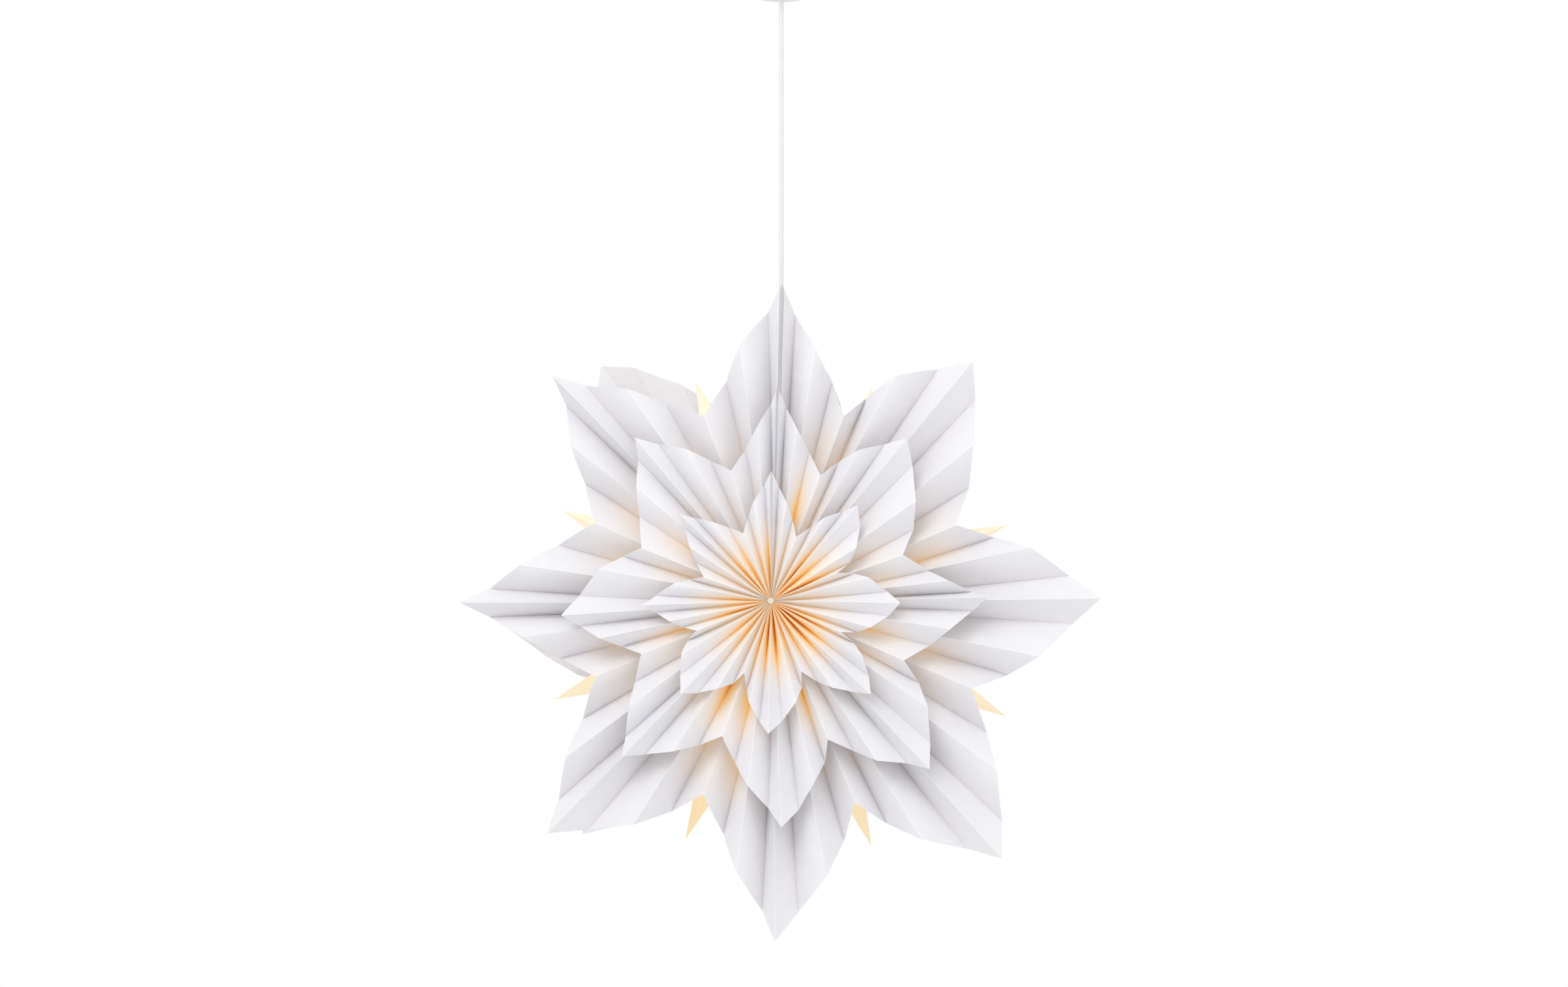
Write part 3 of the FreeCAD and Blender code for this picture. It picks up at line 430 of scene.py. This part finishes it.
    # each facet bulges a little between its creases, more towards its outer edge
    rest = addNode(tree, "ShaderNodeMath", {0: 1.0, 1: across.outputs[0]}, operation="SUBTRACT")
    hump = addNode(tree, "ShaderNodeMath", {0: rest.outputs[0], 1: across.outputs[0]}, operation="MULTIPLY")
    hump = addNode(tree, "ShaderNodeMath", {0: hump.outputs[0], 1: 4.0}, operation="MULTIPLY")
    swell = addNode(tree, "ShaderNodeMath", {0: bows[0], 1: outward.outputs[0]}, operation="MULTIPLY")
    bulge = addNode(tree, "ShaderNodeMath", {0: hump.outputs[0], 1: swell.outputs[0], 2: height.outputs[0]},
                    operation="MULTIPLY_ADD")
    leans = addNode(tree, "ShaderNodeMix", {0: across.outputs[0], 4: ends[0], 5: ends[1]}, data_type="VECTOR")
    lean = addNode(tree, "ShaderNodeSeparateXYZ", {0: leans.outputs[1]})
    further = addNode(tree, "ShaderNodeMath", {0: outward.outputs[0], 1: 2.0}, operation="POWER")
    tilted = addNode(tree, "ShaderNodeMath", {
        0: lean.outputs["Y"], 1: further.outputs[0], 2: bulge.outputs[0]}, operation="MULTIPLY_ADD")
    deep = addNode(tree, "ShaderNodeMath", {0: tilted.outputs[0], 1: given["Middle"]}, operation="ADD")
    facing = addNode(tree, "ShaderNodeMath", {0: deep.outputs[0], 1: given["Facing"]}, operation="MULTIPLY")
    spot = addNode(tree, "ShaderNodeSeparateXYZ", {0: plane.outputs[1]})
    raised = addNode(tree, "ShaderNodeMath", {0: spot.outputs["Z"], 1: given["Star height"]}, operation="ADD")
    there = addNode(tree, "ShaderNodeCombineXYZ", {0: spot.outputs["X"], 1: facing.outputs[0],
                                                   2: raised.outputs[0]})
    # what the paper's material reads: where the paper lies on its strip, and how far the creases are
    signs = [addNode(tree, "ShaderNodeMath", {0: c}, operation="SIGN").outputs[0] for c in crests]
    side = addNode(tree, "ShaderNodeMix", {0: across.outputs[0], 2: signs[0], 3: signs[1]}, data_type="FLOAT")
    share = addNode(tree, "ShaderNodeMath", {0: side.outputs[0], 1: 0.5, 2: 0.5}, operation="MULTIPLY_ADD")
    strips = addNode(tree, "ShaderNodeMath", {0: around.outputs[0], 1: given["Strip width"]},
                     operation="MULTIPLY")
    onPaper = addNode(tree, "ShaderNodeCombineXYZ", {0: reach.outputs["Value"], 1: strips.outputs[0],
                                                     2: given["Middle"]})
    fade = addNode(tree, "ShaderNodeMapRange", {0: reach.outputs["Value"], 1: given["Glow from"],
                                                2: given["Glow to"], 3: 1.0, 4: 0.0},
                   interpolation_type="SMOOTHSTEP")
    behind = addNode(tree, "ShaderNodeMix", {0: across.outputs[0], 2: glows[0], 3: glows[1]},
                     data_type="FLOAT")
    glow = addNode(tree, "ShaderNodeMath", {0: behind.outputs[0], 1: fade.outputs[0]}, operation="MULTIPLY")
    shape = grid.outputs["Mesh"]
    for name, kind, value in (("facetShare", "FLOAT", share.outputs[0]),
                              ("facetWidth", "FLOAT", gap.outputs["Value"]),
                              ("lampGlow", "FLOAT", glow.outputs[0]),
                              ("paperPlace", "FLOAT_VECTOR", onPaper.outputs[0])):
        kept = addNode(tree, "GeometryNodeStoreNamedAttribute", {
            "Geometry": shape, "Name": name, "Value": value}, data_type=kind, domain="POINT")
        shape = kept.outputs[0]
    moved = addNode(tree, "GeometryNodeSetPosition", {"Geometry": shape, "Position": there.outputs[0]})
    joined = addNode(tree, "GeometryNodeMergeByDistance", {"Geometry": moved.outputs[0],
                                                           "Distance": plan["weld"]})
    smooth = addNode(tree, "GeometryNodeSetShadeSmooth", {"Geometry": joined.outputs[0],
                                                          "Shade Smooth": True})
    real = addNode(tree, "GeometryNodeRealizeInstances", {"Geometry": smooth.outputs[0]})
    made = addNode(tree, "GeometryNodeSetMaterial", {"Geometry": real.outputs[0], "Material": paper})
    addNode(tree, "NodeGroupOutput", {0: made.outputs[0]})
    return tree


def cutLine(plan, layer, key, seed):
    chance = random.Random(seed)
    rows, points, perPoint = plan["folding"][key], plan["points"], plan["foldsPerPoint"]
    notch = perPoint // 2
    size = layer["strip"] / plan["large"]["strip"]
    leans = [chance.uniform(-1, 1) * layer["lean"] for _ in range(points)]
    places, crests, bows, glows = [], [], [], []
    for fold in range(points * perPoint):
        point = (fold + notch) // perPoint
        step = fold - point * perPoint
        off, side = abs(step), 1 if step > 0 else -1
        tipTurn, tipReach, notchTurn, notchReach, before, after = rows[point % points]
        if side < 0:
            notchTurn, notchReach = rows[(point - 1) % points][2:4]
        tipAngle = 360 / points * point + tipTurn
        notchAngle = 360 / points * (point + side / 2) + notchTurn
        spread = plan["spread"][off]
        spread += (after if side > 0 else before) * 4 * spread * (1 - spread)
        angle = tipAngle + (notchAngle - tipAngle) * spread
        reach = (tipReach + (notchReach - tipReach) * plan["drop"][off]) / 1000
        if 0 < off < notch:
            angle += chance.uniform(-1, 1) * plan["angleJitter"]
            reach *= 1 + chance.uniform(-1, 1) * plan["reachJitter"]
        mix = off / perPoint
        lean = leans[point % points] * (1 - mix) + leans[(point + side) % points] * mix
        turn = math.radians(angle)
        places.append((reach * math.sin(turn), lean, reach * math.cos(turn)))
        crests.append((1 if fold % 2 == 0 else -1) * (1 - chance.uniform(0, 1) * plan["crestJitter"]))
        facet = off if step >= 0 else off - 1
        bow = plan["bow"][min(facet, notch - 1)] * size
        bows.append(bow * (1 + chance.uniform(-1, 1) * plan["bowJitter"]))
        glow = layer["glowBase"]
        for heading, width, strength in plan["glows"][key]:
            away = (angle - heading + 180) % 360 - 180
            glow += strength * math.exp(-(away / width) ** 2)
        glows.append(min(glow, 1.0))
    line = bpy.data.meshes.new("cutLine")
    line.from_pydata(places, [], [])
    for name, values in (("crest", crests), ("bow", bows), ("glow", glows)):
        line.attributes.new(name, "FLOAT", "POINT").data.foreach_set("value", values)
    return line


def setInputs(modifier, values):
    for item in modifier.node_group.interface.items_tree:
        if item.item_type == "SOCKET" and item.in_out == "INPUT" and item.name in values:
            modifier[item.identifier] = values[item.name]


creaseAngle = 24  # degrees, past which an edge of folded paper shows as a crease


def addWall(draft, thickness, offset):
    wall = draft.modifiers.new("paperThickness", "SOLIDIFY")
    wall.thickness = thickness
    wall.offset = offset


def settle(draft, name):
    bpy.context.view_layer.update()
    graph = bpy.context.evaluated_depsgraph_get()
    mesh = bpy.data.meshes.new_from_object(draft.evaluated_get(graph), preserve_all_data_layers=True,
                                           depsgraph=graph)
    mesh.name = name
    mesh.set_sharp_from_angle(angle=math.radians(creaseAngle))
    old = draft.data
    bpy.data.objects.remove(draft)
    if old.users == 0:
        bpy.data.meshes.remove(old)
    return addPiece(name, mesh)


starTree = pleatTree(starPlan, foldedPaper)
for seed, (end, facing) in enumerate((("front", -1.0), ("rear", 1.0))):
    for number, size in enumerate(("large", "medium", "small")):
        layer = starPlan[size]
        key = end + "_" + size
        line = cutLine(starPlan, layer, key, 11 + 7 * seed + number)
        draft = addPiece("starDraft", line)
        pleats = draft.modifiers.new("pleats", "NODES")
        pleats.node_group = starTree
        setInputs(pleats, {"Strip width": layer["strip"], "Middle": layer["middle"], "Facing": facing,
                           "Gather radius": starPlan["gather"], "Star height": starHeight,
                           "Glow from": layer["glowFrom"], "Glow to": layer["glowTo"],
                           "Rows": starPlan["rows"], "Steps per facet": starPlan["stepsPerFacet"]})
        addWall(draft, starPlan["thickness"], 0.0)
        star = settle(draft, end + size.capitalize() + "Star")
        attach(star, "star")
        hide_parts(key + "_star")
print("stars pleated")

# Side spikes: eight hollow cones of thin cream paper with four facets, on the drum between the points.
spikePlan = {
    "foot": 0.1052, "tip": 0.268, "halfWidth": 0.0376, "halfDepth": 0.048, "rows": 10, "thickness": 0.0004,
    # each spike as it was glued: degrees from its place, metres from the middle to its tip and how much
    # of the bulb's gold it takes, clockwise from the upper right
    "set": ((-0.2, 0.268, 0.1), (2.5, 0.266, 0.1), (3.2, 0.273, 0.3), (1.7, 0.277, 0.6), (0.2, 0.273, 0.8),
            (1.1, 0.2715, 0.3), (1.9, 0.271, 0.15), (1.8, 0.2755, 0.1)),
}


def spikeTree(plan, paper):
    tree, given = openTree("sideSpikes", (
        ("Feet", "NodeSocketGeometry", None), ("Length", "NodeSocketFloat", plan["tip"] - plan["foot"]),
        ("Half width", "NodeSocketFloat", plan["halfWidth"]),
        ("Half depth", "NodeSocketFloat", plan["halfDepth"]), ("Rows", "NodeSocketInt", plan["rows"])),
        "Spikes")
    cone = addNode(tree, "GeometryNodeMeshCone", {"Vertices": 4, "Side Segments": given["Rows"],
                                                  "Radius Top": 0.0, "Radius Bottom": 1.0,
                                                  "Depth": given["Length"]}, fill_type="NONE")
    size = addNode(tree, "ShaderNodeCombineXYZ", {0: given["Half width"], 1: given["Half depth"], 2: 1.0})
    squeezed = addNode(tree, "GeometryNodeTransform", {"Geometry": cone.outputs["Mesh"],
                                                       "Scale": size.outputs[0]})
    spot = addNode(tree, "ShaderNodeSeparateXYZ", {0: addNode(tree, "GeometryNodeInputPosition").outputs[0]})
    rise = addNode(tree, "ShaderNodeMath", {0: spot.outputs["Z"], 1: given["Length"]}, operation="DIVIDE")
    kept = addNode(tree, "GeometryNodeStoreNamedAttribute", {"Geometry": squeezed.outputs[0], "Name": "rise",
                                                             "Value": rise.outputs[0]},
                   data_type="FLOAT", domain="POINT")
    heading = addNode(tree, "GeometryNodeInputNamedAttribute", {"Name": "heading"}, data_type="FLOAT_VECTOR")
    placed = addNode(tree, "GeometryNodeInstanceOnPoints", {
        "Points": given["Feet"], "Instance": kept.outputs[0], "Rotation": heading.outputs[0]})
    real = addNode(tree, "GeometryNodeRealizeInstances", {"Geometry": placed.outputs[0]})
    lean = addNode(tree, "GeometryNodeInputNamedAttribute", {"Name": "tipShift"}, data_type="FLOAT_VECTOR")
    risen = addNode(tree, "GeometryNodeInputNamedAttribute", {"Name": "rise"}, data_type="FLOAT")
    shift = addNode(tree, "ShaderNodeVectorMath", {0: lean.outputs[0], "Scale": risen.outputs[0]},
                    operation="SCALE")
    leaning = addNode(tree, "GeometryNodeSetPosition", {"Geometry": real.outputs[0],
                                                        "Offset": shift.outputs[0]})
    made = addNode(tree, "GeometryNodeSetMaterial", {"Geometry": leaning.outputs[0], "Material": paper})
    addNode(tree, "NodeGroupOutput", {0: made.outputs[0]})
    return tree


def spikeFeet(plan):
    feet, headings, shifts = [], [], []
    for index, (turned, tip, _) in enumerate(plan["set"]):
        straight = math.radians((index + 0.5) * 45)
        leant = straight + math.radians(turned)
        feet.append((plan["foot"] * math.sin(straight), 0, starHeight + plan["foot"] * math.cos(straight)))
        headings += (0, straight, 0)
        shifts += (tip * math.sin(leant) - plan["tip"] * math.sin(straight), 0,
                   tip * math.cos(leant) - plan["tip"] * math.cos(straight))
    spots = bpy.data.meshes.new("spikeFeet")
    spots.from_pydata(feet, [], [])
    for name, values in (("heading", headings), ("tipShift", shifts)):
        spots.attributes.new(name, "FLOAT_VECTOR", "POINT").data.foreach_set("vector", values)
    golds = [gold for turned, tip, gold in plan["set"]]
    spots.attributes.new("gold", "FLOAT", "POINT").data.foreach_set("value", golds)
    return spots


# Thin cream paper: it lets the bulb's light through, and a painted glow and a painted gold colour give
# the eye a pale gold that deepens to the foot.
creamPlan = {
    "colour": "#FBF8EA", "cloudColour": "#F5F0DC", "cloudMm": 6.0, "cockleMm": 22.0,
    "cockleBumpMm": 0.6, "cockleBump": 0.6, "roughness": 0.75, "specular": 0.3,
    "lightThrough": 0.25, "throughColour": "#FFF8E8", "footGlow": 0.34, "tipGlow": 0.16,
    "paleGlow": "#FFF8E8", "goldGlow": "#FFE2AC", "goldLitPaper": "#F9E8C4",
}


def creamPaper(name, plan):
    paper, tree = openMaterial(name)
    place = addNode(tree, "ShaderNodeTexCoord").outputs["Object"]
    rise = addNode(tree, "ShaderNodeAttribute", attribute_name="rise")
    clouds = addNode(tree, "ShaderNodeTexNoise", {"Vector": place, "Detail": 3.0,
                                                  "Scale": 1000 / plan["cloudMm"]})
    cockle = addNode(tree, "ShaderNodeTexNoise", {"Vector": place, "Detail": 1.0,
                                                  "Scale": 1000 / plan["cockleMm"]})
    cloudy = addNode(tree, "ShaderNodeMix", {0: clouds.outputs["Fac"], 6: srgb(plan["colour"]),
                                             7: srgb(plan["cloudColour"])}, data_type="RGBA")
    gold = addNode(tree, "ShaderNodeAttribute", attribute_name="gold")
    # painted light: the paper's colour turned gold where the bulb's light falls
    base = addNode(tree, "ShaderNodeMix", {0: gold.outputs["Fac"], 6: cloudy.outputs[2],
                                           7: srgb(plan["goldLitPaper"])}, data_type="RGBA")
    # painted glow, strongest at the foot of each spike
    light = addNode(tree, "ShaderNodeMix", {0: gold.outputs["Fac"], 6: srgb(plan["paleGlow"]),
                                            7: srgb(plan["goldGlow"])}, data_type="RGBA")
    power = addNode(tree, "ShaderNodeMapRange", {0: rise.outputs["Fac"], 1: 0.0, 2: 1.0, 3: plan["footGlow"],
                                                 4: plan["tipGlow"]})
    wavy = addNode(tree, "ShaderNodeBump", {
        "Height": cockle.outputs["Fac"], "Distance": plan["cockleBumpMm"] / 1000,
        "Strength": plan["cockleBump"]})
    surface = addNode(tree, "ShaderNodeBsdfPrincipled", {
        "Base Color": base.outputs[2], "Roughness": plan["roughness"], "Specular IOR Level": plan["specular"],
        "Normal": wavy.outputs[0], "Emission Color": light.outputs[2],
        "Emission Strength": power.outputs[0]})
    through = addNode(tree, "ShaderNodeBsdfTranslucent", {"Color": srgb(plan["throughColour"]),
                                                          "Normal": wavy.outputs[0]})
    sheet = addNode(tree, "ShaderNodeMixShader", {0: plan["lightThrough"], 1: surface.outputs[0],
                                                  2: through.outputs[0]})
    addNode(tree, "ShaderNodeOutputMaterial", {"Surface": sheet.outputs[0]})
    return paper


draft = addPiece("spikeDraft", spikeFeet(spikePlan))
cones = draft.modifiers.new("cones", "NODES")
cones.node_group = spikeTree(spikePlan, creamPaper("thinCreamPaper", creamPlan))
setInputs(cones, {"Length": spikePlan["tip"] - spikePlan["foot"], "Half width": spikePlan["halfWidth"],
                  "Half depth": spikePlan["halfDepth"], "Rows": spikePlan["rows"]})
addWall(draft, spikePlan["thickness"], -1.0)
sideSpikes = settle(draft, "sideSpikes")
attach(sideSpikes, "star")
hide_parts(*["side_spike_%d" % (n + 1) for n in range(8)])
print("spikes set")

# Finishes of the hard pieces, by the record's slots. Grain is the size in millimetres of the pattern in
# the surface.
finishPlans = {
    # board with a few pale fibres, quite matt
    "card": {"name": "plainWhiteCard", "colour": "#EFECE4", "second": "#E2DDD0", "grainMm": 3.0,
             "bumpMm": 0.05, "roughness": 0.86},
    # the two punched centre discs, dull cream card
    "cream_paper": {"name": "creamCardDisc", "colour": "#E4DCC8", "second": "#D8CEB6", "grainMm": 1.2,
                    "bumpMm": 0.03, "roughness": 0.86},
    # soft twisted yarn, no shine
    "cotton_thread": {"name": "twistedCotton", "colour": "#EFEAE0", "second": "#D8D0C0", "grainMm": 0.5,
                      "bumpMm": 0.12, "roughness": 0.92},
    # warm yellow metal, faintly tarnished
    "brass": {"name": "turnedBrass", "colour": "#D2B26A", "second": "#B08C48", "grainMm": 2.2, "bumpMm": 0.01,
              "roughness": 0.27, "metallic": 1.0},
    # cool grey metal with a dull zinc bloom
    "zinc_steel": {"name": "zincPlatedSteel", "colour": "#C6C8CB", "second": "#A9ACB1", "grainMm": 1.6,
                   "bumpMm": 0.015, "roughness": 0.36, "metallic": 1.0},
    # moulded, with a clean soft highlight
    "white_plastic": {"name": "glossyWhiteAbs", "colour": "#EFEFED", "second": "#E9E8E4", "grainMm": 14.0,
                      "bumpMm": 0.02, "roughness": 0.28},
    # sprayed and baked, with a fine orange-peel skin
    "white_enamel": {"name": "whitePowderCoat", "colour": "#F0F0EE", "second": "#EAEAE7", "grainMm": 1.4,
                     "bumpMm": 0.03, "roughness": 0.38},
    # ivory body under a wet-looking glaze
    "porcelain": {"name": "glazedPorcelain", "colour": "#EFECE2", "second": "#E6E1D3", "grainMm": 8.0,
                  "bumpMm": 0.02, "roughness": 0.12, "coat": 0.8},
    "brown_core": {"name": "brownWireSkin", "colour": "#5B3520", "second": "#4E2C1A", "grainMm": 5.0,
                   "bumpMm": 0.01, "roughness": 0.42},
    "blue_core": {"name": "blueWireSkin", "colour": "#24539B", "second": "#1D478A", "grainMm": 5.0,
                  "bumpMm": 0.01, "roughness": 0.42},
    # lit from within by the filament, an even warm white
    "frosted_glass": {"name": "frostedBulbGlass", "colour": "#FFF3DC", "second": "#FFEECF", "grainMm": 4.0,
                      "bumpMm": 0.005, "roughness": 0.5, "glowColour": "#FFC070", "glow": 9.0},
    # the stem, colourless and sharp
    "clear_glass": {"name": "clearStemGlass", "colour": "#F4F7F7", "second": "#EEF3F3", "grainMm": 6.0,
                    "bumpMm": 0.005, "roughness": 0.04, "clear": 0.9},
    # red-hot coil
    "filament": {"name": "glowingTungsten", "colour": "#8C867E", "second": "#6E675E", "grainMm": 0.6,
                 "bumpMm": 0.05, "roughness": 0.5, "metallic": 1.0, "glowColour": "#FFA040", "glow": 40.0},
    # pale warm metal, brighter than the zinc
    "nickel_cap": {"name": "nickelPlatedCap", "colour": "#CFCBC1", "second": "#B9B4A8", "grainMm": 1.8,
                   "bumpMm": 0.01, "roughness": 0.25, "metallic": 1.0},
    # black fused glass with a hard shine
    "black_insulator": {"name": "blackFusedGlass", "colour": "#15151A", "second": "#0E0E12", "grainMm": 3.0,
                        "bumpMm": 0.02, "roughness": 0.16},
    # cloudy polyethylene, waxy
    "block_plastic": {"name": "waxyPolyethylene", "colour": "#E7E6DE", "second": "#DCDACE", "grainMm": 7.0,
                      "bumpMm": 0.02, "roughness": 0.48},
    # flex with a satin sheath, a little greyed by handling
    "white_cord": {"name": "satinPvcSheath", "colour": "#E9E8E6", "second": "#DDDBD7", "grainMm": 30.0,
                   "bumpMm": 0.02, "roughness": 0.40},
}


roughSpread = 0.15   # how far the grain moves a finish's roughness either way
grainRelief = 0.5    # how much of its depth the grain shows


def hardFinish(plan):
    finish, tree = openMaterial(plan["name"])
    place = addNode(tree, "ShaderNodeTexCoord").outputs["Object"]
    grain = addNode(tree, "ShaderNodeTexNoise", {"Vector": place, "Detail": 3.0,
                                                 "Scale": 1000 / plan["grainMm"]})
    colour = addNode(tree, "ShaderNodeMix", {0: grain.outputs["Fac"], 6: srgb(plan["colour"]),
                                             7: srgb(plan["second"])}, data_type="RGBA")
    rough = addNode(tree, "ShaderNodeMapRange", {
        0: grain.outputs["Fac"], 1: 0.3, 2: 0.7, 3: plan["roughness"] * (1 - roughSpread),
        4: plan["roughness"] * (1 + roughSpread)})
    bump = addNode(tree, "ShaderNodeBump", {
        "Height": grain.outputs["Fac"], "Distance": plan["bumpMm"] / 1000, "Strength": grainRelief})
    settings = {"Base Color": colour.outputs[2], "Roughness": rough.outputs[0], "Normal": bump.outputs[0],
                "Metallic": plan.get("metallic", 0.0), "Coat Weight": plan.get("coat", 0.0),
                "Transmission Weight": plan.get("clear", 0.0)}
    if "glow" in plan:
        settings["Emission Color"] = srgb(plan["glowColour"])
        settings["Emission Strength"] = plan["glow"]
    surface = addNode(tree, "ShaderNodeBsdfPrincipled", settings)
    addNode(tree, "ShaderNodeOutputMaterial", {"Surface": surface.outputs[0]})
    return finish


finishes = {name: hardFinish(plan) for name, plan in finishPlans.items()}
powerCord.data.materials.append(finishes["white_cord"])
for row in frame["record"]["subparts"]:
    if row["material_slot"] in finishes:
        piece = cadNodes[row["node"]]
        piece.data.materials.clear()
        piece.data.materials.append(finishes[row["material_slot"]])
print("finishes given")
